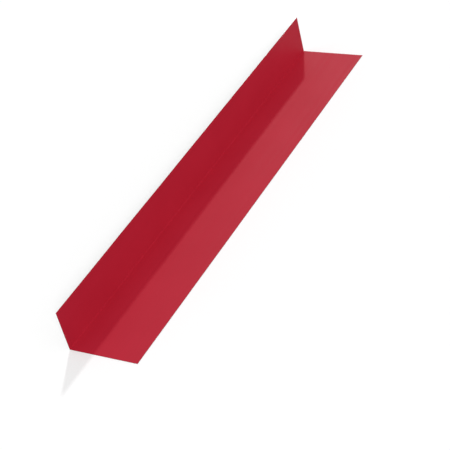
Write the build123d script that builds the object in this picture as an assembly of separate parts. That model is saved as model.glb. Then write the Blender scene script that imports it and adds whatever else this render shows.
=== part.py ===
from build123d import *
import math
import os

# Wall abutment flashing: one length of coil-coated steel sheet with a single fold along it.
# The wide flange lies on the roof covering and the narrow one stands up against the wall.
# X runs along the length, the wall is on the +Y side and Z is up. The origin is at the middle
# of the underside of the roof flange, which is the face that the piece lies on.

# Driving dimensions, in millimetres and degrees
length = 2000.0  # one stock length, cut square at both ends
roof_flange_width = 290.0  # from the outside corner of the fold to the free edge
wall_flange_height = 175.0  # from the outside corner of the fold to the free edge
fold_angle = 90.0  # between the two flanges
sheet_thickness = 0.5  # steel core with its zinc and paint on both sides
inside_bend_radius = 1.0  # twice the thickness, left by the folding machine's blade

# The sheet keeps its thickness round the fold, so the outside radius follows the inside one.
outside_bend_radius = inside_bend_radius + sheet_thickness


def outside_line():
    """The outside of the section as (Y, Z) points: roof flange's edge, fold corner, wall flange's edge."""
    fold_corner = Vector(roof_flange_width / 2, 0)
    roof_edge = fold_corner - Vector(roof_flange_width, 0)
    turn = math.radians(fold_angle)
    wall_edge = fold_corner + Vector(-math.cos(turn), math.sin(turn)) * wall_flange_height
    return roof_edge, fold_corner, wall_edge


def folded_sheet():
    """The outside line, thickened towards the inside of the fold and drawn out to the stock length."""
    with BuildPart() as sheet:
        with BuildSketch(Plane.YZ):
            with BuildLine():
                FilletPolyline(*outside_line(), radius=outside_bend_radius)
                offset(amount=sheet_thickness, side=Side.LEFT)
            make_face()
        extrude(amount=length / 2, both=True)
    return sheet.part


os.makedirs("parts", exist_ok=True)
export_step(folded_sheet(), "parts/flashing_sheet.step")
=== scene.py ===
import math

import bpy
import numpy as np
from mathutils import Matrix, Vector


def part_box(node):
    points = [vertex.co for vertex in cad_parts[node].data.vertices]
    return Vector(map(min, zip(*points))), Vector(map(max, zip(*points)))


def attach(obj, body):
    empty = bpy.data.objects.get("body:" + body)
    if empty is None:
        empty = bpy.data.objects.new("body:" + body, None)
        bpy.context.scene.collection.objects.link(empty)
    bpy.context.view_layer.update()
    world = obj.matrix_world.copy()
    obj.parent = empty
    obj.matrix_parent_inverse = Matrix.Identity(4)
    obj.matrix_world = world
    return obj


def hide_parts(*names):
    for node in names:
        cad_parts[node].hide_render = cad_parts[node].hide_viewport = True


# Wall abutment flashing: one length of coil-coated steel, folded once, lying on its wide flange.
# Metres throughout, and names that end in Mm are millimetres. X runs along the length, the
# narrow flange stands at the +Y side and Z is up.

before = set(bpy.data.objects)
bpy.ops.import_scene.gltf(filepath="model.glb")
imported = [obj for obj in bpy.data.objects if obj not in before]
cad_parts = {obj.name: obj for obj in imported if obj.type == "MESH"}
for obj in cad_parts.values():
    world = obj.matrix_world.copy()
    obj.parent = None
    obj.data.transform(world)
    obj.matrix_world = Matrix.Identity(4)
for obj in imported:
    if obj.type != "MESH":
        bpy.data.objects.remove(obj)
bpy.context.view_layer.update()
mm = 0.001
noiseSpan = (0.3, 0.7)  # the part of 0 to 1 that a noise pattern mostly keeps to
noiseOctaves = 3.0
print("frame loaded:", sorted(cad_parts))


def linearColour(hexValue):
    # sRGB hex to linear: the low end is a straight line, the rest a 2.4 power
    srgb = np.array([int(hexValue[i:i + 2], 16) for i in (0, 2, 4)]) / 255
    linear = np.where(srgb <= 0.04045, srgb / 12.92, ((srgb + 0.055) / 1.055) ** 2.4)
    return (*linear.tolist(), 1.0)


def addNode(tree, nodeType, sockets=None, **settings):
    # A node with its own settings. A socket gets a value, or a link when it is given an output.
    # Mix repeats its socket names, so they go by number: 2 and 3 for numbers, 6 and 7 for colours.
    node = tree.nodes.new(nodeType)
    for name, value in settings.items():
        setattr(node, name, value)
    for name, value in (sockets or {}).items():
        if isinstance(value, bpy.types.NodeSocket):
            tree.links.new(value, node.inputs[name])
        else:
            node.inputs[name].default_value = value
    return node


def perMetre(sizeMm):
    # a pattern's scale from the real size of one of its marks
    return 1 / (sizeMm * mm)


def newMaterial(name):
    # a material with an empty node tree
    material = bpy.data.materials.new(name)
    material.use_nodes = True
    material.node_tree.nodes.clear()
    return material, material.node_tree


# Camera: stands off the near end, on the roof-flange side, looking down and tipped over to its right
cameraSetup = {
    "aim": (-0.2284, -0.0892, 0.0),
    "azimuth": -53.016,  # degrees, 0 looks along +Y
    "elevation": 36.057,
    "tip": 15.503,  # the frame's right side hangs this many degrees below level
    "distance": 5.2358,
    "lensMm": 109.03,
    "sensorMm": 36.0,
}


def placeCamera(setup):
    # Back points from the aim to the camera: azimuth turns it round Z from -Y, elevation lifts it.
    # The level right and up are then turned about it by the tip.
    azimuth = math.radians(setup["azimuth"])
    elevation = math.radians(setup["elevation"])
    tip = math.radians(setup["tip"])
    back = Vector((
        math.sin(azimuth) * math.cos(elevation),
        -math.cos(azimuth) * math.cos(elevation),
        math.sin(elevation),
    ))
    levelRight = Vector((0, 0, 1)).cross(back).normalized()
    levelUp = back.cross(levelRight)
    right = levelRight * math.cos(tip) - levelUp * math.sin(tip)
    up = back.cross(right)
    data = bpy.data.cameras.new("productCamera")
    data.lens = setup["lensMm"]
    data.sensor_width = setup["sensorMm"]
    camera = bpy.data.objects.new("productCamera", data)
    turn = Matrix((right, up, back)).transposed().to_4x4()
    place = Matrix.Translation(Vector(setup["aim"]) + back * setup["distance"])
    camera.matrix_world = place @ turn
    bpy.context.scene.collection.objects.link(camera)
    bpy.context.scene.camera = camera


placeCamera(cameraSetup)
print("camera placed")


# Folded sheet
foldedSheet = {
    "thicknessMm": 0.5,  # steel with its zinc and paint
    "insideBendMm": 1.0,  # radius left by the folding blade
    "flatSteps": 24,  # across each flange, closer together towards the fold
    "bendSteps": 14,
    "lengthSteps": 160,
    "waveMm": 0.8,  # how far a free edge may stand off dead flat, as thin sheet does
    "waveLengthsMm": (940.0, 610.0, 430.0),
    "roofPhase": 0.7,  # radians, unlike ones so that the two free edges differ
    "wallPhase": 1.9,
    "creaseAngle": 35.0,  # degrees, a sharper corner than this is a cut edge
}


def sectionLine(low, high, depth, setup):
    # The section at a given depth under the outside face, as (Y, Z) rows: straight along the roof
    # flange, a quarter circle round the fold's centre, straight up the wall flange. The steps on
    # the flats shrink as a square towards the fold. Each row also gets its share of the way from
    # the fold to the free edge, for the roof flange and for the wall flange.
    outsideBend = (setup["insideBendMm"] + setup["thicknessMm"]) * mm
    centreY, centreZ = high.y - outsideBend, low.z + outsideBend
    radius = outsideBend - depth
    run = (1 - np.linspace(0, 1, setup["flatSteps"] + 1)) ** 2
    turn = np.linspace(0, math.pi / 2, setup["bendSteps"] + 1)[1:-1]
    roofReach = np.concatenate([run, np.zeros(len(turn) + len(run))])
    wallReach = roofReach[::-1]
    y = centreY + (low.y - centreY) * roofReach
    z = centreZ + (high.z - centreZ) * wallReach
    bend = np.concatenate([np.zeros_like(run), turn, np.full_like(run, math.pi / 2)])
    line = np.stack([y + radius * np.sin(bend), z - radius * np.cos(bend)], axis=1)
    return line, roofReach, wallReach


def edgeWave(x, setup, phase):
    # the mean of unlike sines, which lies between -1 and 1, brought between 0 and the full wave
    lengths = np.array(setup["waveLengthsMm"]) * mm
    sines = np.sin(2 * math.pi * x[:, None] / lengths + phase * np.arange(1, len(lengths) + 1))
    return setup["waveMm"] * mm * (1 + sines.mean(axis=1)) / 2


def gridQuads(numbers):
    # each cell of a grid of vertex numbers, as its four corners in turn
    cells = [numbers[:-1, :-1], numbers[1:, :-1], numbers[1:, 1:], numbers[:-1, 1:]]
    return np.stack(cells, axis=-1).reshape(-1, 4)


def sweptSheet(name, low, high, setup):
    # The inside and outside lines of the section are carried along X. Away from the fold, by the
    # square of the way to the free edge, both faces ride the same wave, up off the floor or in
    # from the wall. Quads close the cut edges and ends. Faces are numbered 0 for the inside,
    # 1 for the outside and 2 for cut metal, and sheetDepth goes from 0 to 1 through the thickness.
    inside, roofReach, wallReach = sectionLine(low, high, setup["thicknessMm"] * mm, setup)
    outside = sectionLine(low, high, 0.0, setup)[0]
    x = np.linspace(low.x, high.x, setup["lengthSteps"] + 1)
    points = np.empty((len(x), 2 * len(inside), 3))
    points[:, :, 0] = x[:, None]
    points[:, :, 1:] = np.concatenate([inside, outside])
    points[:, :, 1] -= edgeWave(x, setup, setup["wallPhase"])[:, None] * np.tile(wallReach, 2) ** 2
    points[:, :, 2] += edgeWave(x, setup, setup["roofPhase"])[:, None] * np.tile(roofReach, 2) ** 2

    numbers = np.arange(points.shape[0] * points.shape[1]).reshape(points.shape[:2])
    inner, outer = np.split(numbers, 2, axis=1)
    cutPairs = [
        (outer[:, 0], inner[:, 0]),  # roof flange's edge
        (inner[:, -1], outer[:, -1]),  # wall flange's edge
        (inner[0], outer[0]),  # near end
        (outer[-1], inner[-1]),  # far end
    ]
    patches = [inner, outer[:, ::-1]] + [np.stack(pair, axis=1) for pair in cutPairs]
    quads = [gridQuads(patch) for patch in patches]
    finishes = np.repeat([0, 1] + [2] * len(cutPairs), [len(part) for part in quads])

    mesh = bpy.data.meshes.new(name)
    mesh.from_pydata(points.reshape(-1, 3).tolist(), [], np.concatenate(quads).tolist())
    mesh.polygons.foreach_set("material_index", finishes.astype(np.int32))
    depth = np.tile(np.repeat([0.0, 1.0], len(inside)), len(x))
    mesh.attributes.new("sheetDepth", "FLOAT", "POINT").data.foreach_set("value", depth)
    mesh.shade_smooth()
    mesh.set_sharp_from_angle(angle=math.radians(setup["creaseAngle"]))
    mesh.update()
    piece = bpy.data.objects.new(name, mesh)
    bpy.context.scene.collection.objects.link(piece)
    return piece


def rollerLines(tree, place, setup):
    # noise drawn out along the length of the sheet, as a coating roller leaves it
    across = perMetre(setup["lineMm"])
    stretch = addNode(tree, "ShaderNodeMapping", {
        "Vector": place.outputs["Object"], "Scale": (perMetre(setup["lineLengthMm"]), across, across)})
    return addNode(tree, "ShaderNodeTexNoise", {
        "Vector": stretch.outputs["Vector"], "Scale": 1.0, "Detail": noiseOctaves})


# Polyester topcoat, put on the zinc-coated coil by roller and baked: an even satin red with faint
# lengthwise roller lines, a soft drift of tone and a little sky in it at a slant
polyesterTopcoat = {
    "colour": "ac182c",
    "paleColour": "be263a",
    "roughness": (0.51, 0.59),
    "ior": 1.2,  # polyester is near 1.5, brought down until the white at a slant matched
    "cloudMm": 260.0,
    "lineMm": 7.0,  # real roller lines are about 1 mm apart, drawn coarser and deeper so that they show
    "lineLengthMm": 700.0,
    "lineShare": 0.4,  # of the tone's drift, the rest is cloud
    "lineDepthMm": 0.12,
    "peelMm": 5.0,  # real orange peel is about 2 mm across, drawn coarser and deeper so that it shows
    "peelDepthMm": 0.25,
}


def makeTopcoat(setup):
    # Cloud and line noise, in their shares, set how far the tone goes from the colour to the pale
    # one. The lines also set the roughness, and lines and orange peel both raise the surface.
    material, tree = newMaterial("polyesterTopcoat")
    place = addNode(tree, "ShaderNodeTexCoord")
    lines = rollerLines(tree, place, setup)
    clouds = addNode(tree, "ShaderNodeTexNoise", {
        "Vector": place.outputs["Object"], "Scale": perMetre(setup["cloudMm"]), "Detail": noiseOctaves})
    drift = addNode(tree, "ShaderNodeMix", {
        0: setup["lineShare"], 2: clouds.outputs["Fac"], 3: lines.outputs["Fac"]})
    tone = addNode(tree, "ShaderNodeMix", {
        0: drift.outputs[0], 6: linearColour(setup["colour"]), 7: linearColour(setup["paleColour"])},
        data_type="RGBA")
    satin = addNode(tree, "ShaderNodeMapRange", {
        "Value": lines.outputs["Fac"], "From Min": noiseSpan[0], "From Max": noiseSpan[1],
        "To Min": setup["roughness"][0], "To Max": setup["roughness"][1]})
    ridges = addNode(tree, "ShaderNodeBump", {
        "Height": lines.outputs["Fac"], "Distance": setup["lineDepthMm"] * mm})
    peel = addNode(tree, "ShaderNodeTexNoise", {
        "Vector": place.outputs["Object"], "Scale": perMetre(setup["peelMm"]), "Detail": noiseOctaves})
    bump = addNode(tree, "ShaderNodeBump", {
        "Height": peel.outputs["Fac"], "Distance": setup["peelDepthMm"] * mm,
        "Normal": ridges.outputs["Normal"]})
    shader = addNode(tree, "ShaderNodeBsdfPrincipled", {
        "Base Color": tone.outputs[2], "Roughness": satin.outputs["Result"], "IOR": setup["ior"],
        "Normal": bump.outputs["Normal"]})
    addNode(tree, "ShaderNodeOutputMaterial", {"Surface": shader.outputs["BSDF"]})
    return material


# Epoxy back coat, one thin pass of light grey primer on the reverse: duller than the front, with
# plainer roller lines because the zinc shows through where it runs thin
epoxyBackCoat = {
    "colour": "a5a7a4",
    "thinColour": "c5c6c2",
    "roughness": (0.48, 0.62),
    "ior": 1.5,
    "lineMm": 9.0,  # drawn coarser than the real 1 to 2 mm, and deeper, so that they show
    "lineLengthMm": 500.0,
    "lineDepthMm": 0.12,
}


def makeBackCoat(setup):
    # one line noise sets the tone, the relief and the roughness, which is least where the coat is thin
    material, tree = newMaterial("epoxyBackCoat")
    place = addNode(tree, "ShaderNodeTexCoord")
    lines = rollerLines(tree, place, setup)
    tone = addNode(tree, "ShaderNodeMix", {
        0: lines.outputs["Fac"], 6: linearColour(setup["colour"]), 7: linearColour(setup["thinColour"])},
        data_type="RGBA")
    satin = addNode(tree, "ShaderNodeMapRange", {
        "Value": lines.outputs["Fac"], "From Min": noiseSpan[0], "From Max": noiseSpan[1],
        "To Min": setup["roughness"][1], "To Max": setup["roughness"][0]})
    ridges = addNode(tree, "ShaderNodeBump", {
        "Height": lines.outputs["Fac"], "Distance": setup["lineDepthMm"] * mm})
    shader = addNode(tree, "ShaderNodeBsdfPrincipled", {
        "Base Color": tone.outputs[2], "Roughness": satin.outputs["Result"], "IOR": setup["ior"],
        "Normal": ridges.outputs["Normal"]})
    addNode(tree, "ShaderNodeOutputMaterial", {"Surface": shader.outputs["BSDF"]})
    return material


# Sheared steel: the bare cut edge. The blade leaves a bright rubbed band next to the painted face
# and a dull torn one below it, and the line between them wanders
shearedSteel = {
    "rubbedColour": "b4b6b8",
    "tornColour": "7a7c7f",
    "roughness": (0.32, 0.6),  # rubbed, torn
    "rubbedShare": (0.25, 0.45),  # of the thickness, where the torn band starts and has taken over
    "wander": 0.3,  # of the thickness, how far that line moves
    "markMm": 3.0,  # real shear marks are finer than 0.5 mm, drawn coarser so that they show
    "markDepthMm": 0.02,
}


def makeShearedEdge(setup):
    # The depth through the sheet, moved up or down by the noise of the shear marks, says how torn
    # the metal is, from 0 to 1, and that sets the tone and the roughness. The marks are also relief.
    material, tree = newMaterial("shearedSteel")
    place = addNode(tree, "ShaderNodeTexCoord")
    marks = addNode(tree, "ShaderNodeTexNoise", {
        "Vector": place.outputs["Object"], "Scale": perMetre(setup["markMm"]), "Detail": noiseOctaves})
    wander = addNode(tree, "ShaderNodeMapRange", {
        "Value": marks.outputs["Fac"], "From Min": noiseSpan[0], "From Max": noiseSpan[1],
        "To Min": -setup["wander"] / 2, "To Max": setup["wander"] / 2})
    depth = addNode(tree, "ShaderNodeAttribute", attribute_name="sheetDepth")
    line = addNode(tree, "ShaderNodeMath", {0: depth.outputs["Fac"], 1: wander.outputs["Result"]})
    torn = addNode(tree, "ShaderNodeMapRange", {
        "Value": line.outputs[0],
        "From Min": setup["rubbedShare"][0], "From Max": setup["rubbedShare"][1]})
    tone = addNode(tree, "ShaderNodeMix", {
        0: torn.outputs["Result"],
        6: linearColour(setup["rubbedColour"]), 7: linearColour(setup["tornColour"])},
        data_type="RGBA")
    dull = addNode(tree, "ShaderNodeMapRange", {
        "Value": torn.outputs["Result"],
        "To Min": setup["roughness"][0], "To Max": setup["roughness"][1]})
    notches = addNode(tree, "ShaderNodeBump", {
        "Height": marks.outputs["Fac"], "Distance": setup["markDepthMm"] * mm})
    shader = addNode(tree, "ShaderNodeBsdfPrincipled", {
        "Base Color": tone.outputs[2], "Roughness": dull.outputs["Result"], "Metallic": 1.0,
        "Normal": notches.outputs["Normal"]})
    addNode(tree, "ShaderNodeOutputMaterial", {"Surface": shader.outputs["BSDF"]})
    return material


sheetLow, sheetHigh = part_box("flashing_sheet")
flashing = sweptSheet("foldedFlashing", sheetLow, sheetHigh, foldedSheet)
# in the order in which the faces are numbered
finishes = [makeTopcoat(polyesterTopcoat), makeBackCoat(epoxyBackCoat), makeShearedEdge(shearedSteel)]
for finish in finishes:
    flashing.data.materials.append(finish)
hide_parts("flashing_sheet")
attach(flashing, "root")
print("sheet folded:", len(flashing.data.polygons), "faces")


# Studio: white floor, a pale dome that is white round the horizon, a narrow key lamp behind the
# wall flange, and a soft fill lamp in front of it
studio = {
    "floorSize": 60.0,
    "floorDropMm": 0.3,  # keeps the floor clear of the underside
    "floorSeen": "ffffff",  # to the camera and in reflections
    "floorBounce": "909090",  # as it lights the piece, greyer so that the wall flange stays even
    "domeColour": "ffffff",
    "horizonStrength": 1.0,
    "horizonHeight": (0.17, 0.32),  # sine of elevation where the white starts to fade and has faded
    "domeStrength": 0.511,
    "keyStrength": 0.852,
    "keySpread": 3.2,  # degrees across, as seen from the piece
    "keyTravel": (-0.730, -0.348, -0.591),  # the way the light goes
    "fillStrength": 1.688,
    "fillSpread": 20.0,
    "fillTravel": (0.608, 0.520, -0.605),
}


def addLamp(name, strength, spread, travel):
    # a sun lamp, turned so that its -Z is the way the light goes
    lamp = bpy.data.objects.new(name, bpy.data.lights.new(name, "SUN"))
    lamp.data.energy = strength
    lamp.data.angle = math.radians(spread)
    lamp.rotation_mode = "QUATERNION"
    lamp.rotation_quaternion = Vector(travel).to_track_quat("-Z", "Y")
    bpy.context.scene.collection.objects.link(lamp)


def lightScene(setup):
    # the dome goes from the horizon's strength to its own as the sine of elevation rises
    scene = bpy.context.scene
    scene.view_settings.view_transform = "Standard"
    world = bpy.data.worlds.new("paleDome")
    world.use_nodes = True
    tree = world.node_tree
    tree.nodes.clear()
    sky = addNode(tree, "ShaderNodeTexCoord")
    heading = addNode(tree, "ShaderNodeSeparateXYZ", {"Vector": sky.outputs["Generated"]})
    level = addNode(tree, "ShaderNodeMapRange", {
        "Value": heading.outputs["Z"],
        "From Min": setup["horizonHeight"][0], "From Max": setup["horizonHeight"][1],
        "To Min": setup["horizonStrength"], "To Max": setup["domeStrength"]})
    dome = addNode(tree, "ShaderNodeBackground", {
        "Color": linearColour(setup["domeColour"]), "Strength": level.outputs["Result"]})
    addNode(tree, "ShaderNodeOutputWorld", {"Surface": dome.outputs["Background"]})
    scene.world = world
    addLamp("keyLamp", setup["keyStrength"], setup["keySpread"], setup["keyTravel"])
    addLamp("fillLamp", setup["fillStrength"], setup["fillSpread"], setup["fillTravel"])


def layFloor(setup):
    # one level square, white to the camera and in reflections, grey in the light it throws back
    half = setup["floorSize"] / 2
    height = -setup["floorDropMm"] * mm
    mesh = bpy.data.meshes.new("studioFloor")
    corners = [(-half, -half), (half, -half), (half, half), (-half, half)]
    mesh.from_pydata([(x, y, height) for x, y in corners], [], [(0, 1, 2, 3)])
    floor = bpy.data.objects.new("studioFloor", mesh)
    bpy.context.scene.collection.objects.link(floor)
    material, tree = newMaterial("whitePaper")
    rays = addNode(tree, "ShaderNodeLightPath").outputs
    seen = rays["Is Camera Ray"]
    for kind in ("Is Glossy Ray", "Is Transmission Ray"):
        seen = addNode(tree, "ShaderNodeMath", {0: seen, 1: rays[kind]}, operation="MAXIMUM").outputs[0]
    tone = addNode(tree, "ShaderNodeMix", {
        0: seen, 6: linearColour(setup["floorBounce"]), 7: linearColour(setup["floorSeen"])},
        data_type="RGBA")
    paper = addNode(tree, "ShaderNodeBsdfDiffuse", {"Color": tone.outputs[2]})
    addNode(tree, "ShaderNodeOutputMaterial", {"Surface": paper.outputs["BSDF"]})
    mesh.materials.append(material)


lightScene(studio)
layFloor(studio)
print("studio lit")
